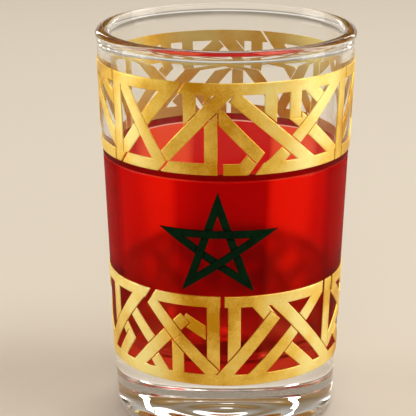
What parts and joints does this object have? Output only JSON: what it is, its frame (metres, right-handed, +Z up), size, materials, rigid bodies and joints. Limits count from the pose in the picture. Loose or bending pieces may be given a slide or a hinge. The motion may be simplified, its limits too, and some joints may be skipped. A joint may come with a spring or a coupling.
{
  "type": "moroccan tea glass",
  "caption": "Tapered tea glass with a heavy solid foot, a rounded rim, gold strapwork bands, a ruby band and a green star.",
  "frame": {"origin": "middle of the foot, on the plane that the glass stands on", "axes": "+Z up along the axis of the glass, with the star facing -Y"},
  "size_m": [0.0624, 0.0624, 0.096],
  "materials": {
    "glass": "clear polished glass",
    "ruby": "transparent ruby stain",
    "gold": "fired gilding with a fine leaf grain",
    "green": "glossy raised enamel"
  },
  "bodies": {
    "root": {"glass_body": "glass", "red_band": "ruby", "green_star": "green", "upper_top_rail": "gold", "upper_bottom_rail": "gold", "upper_posts": "gold", "upper_rising_straps": "gold", "upper_falling_straps": "gold", "lower_top_rail": "gold", "lower_bottom_rail": "gold", "lower_posts": "gold", "lower_rising_straps": "gold", "lower_falling_straps": "gold"}
  },
  "joints": []
}
